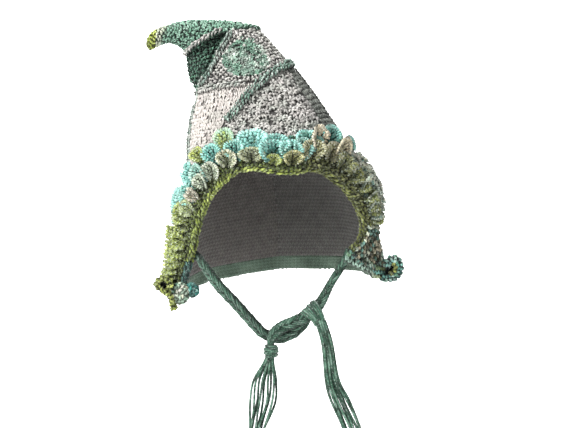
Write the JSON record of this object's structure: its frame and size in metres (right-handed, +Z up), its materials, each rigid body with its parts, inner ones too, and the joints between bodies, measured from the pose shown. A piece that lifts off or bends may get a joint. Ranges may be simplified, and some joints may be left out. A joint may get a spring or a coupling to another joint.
{
  "type": "hooded cowl",
  "caption": "Crocheted patchwork hood with a turned-over peak, a scale-stitch border round the face, a ruffled hem and braided ties with tassels.",
  "frame": {"origin": "Top of the wearer's head, inside the hood, where it rests when worn.", "axes": "+Z is up as worn. The face opening looks along -Y. +X is the viewer's right, and the peak is turned over towards -X."},
  "size_m": [0.408, 0.2602, 0.6626],
  "materials": {
    "cream_yarn": "matte wool",
    "grey_yarn": "matte wool",
    "motif_yarn": "matte wool",
    "green_yarn": "matte wool",
    "lime_yarn": "matte wool",
    "hem_yarn": "matte wool",
    "scale_yarn": "matte wool",
    "tie_yarn": "matte wool"
  },
  "bodies": {
    "root": {"front_left_panel": "cream_yarn", "front_right_panel": "grey_yarn", "back_left_panel": "cream_yarn", "back_right_panel": "grey_yarn", "motif_panel": "motif_yarn", "pocket_panel": "green_yarn", "cone_back_panel": "grey_yarn", "peak_panel": "green_yarn", "peak_tip": "lime_yarn", "green_seam": "green_yarn", "crown_seam_front": "grey_yarn", "crown_seam_back": "grey_yarn", "crease_seam": "grey_yarn", "peak_seam_front": "grey_yarn", "peak_seam_back": "green_yarn", "left_side_seam": "grey_yarn", "right_side_seam": "grey_yarn", "back_seam": "grey_yarn", "hem_ruffle": "hem_yarn", "scale_border": "scale_yarn", "face_edging": "lime_yarn", "corner_curl_left": "scale_yarn", "tie_left": "tie_yarn", "tie_right": "tie_yarn", "knot_left": "tie_yarn", "knot_right": "tie_yarn", "tassel_left": "tie_yarn", "tassel_right": "tie_yarn"}
  },
  "joints": []
}
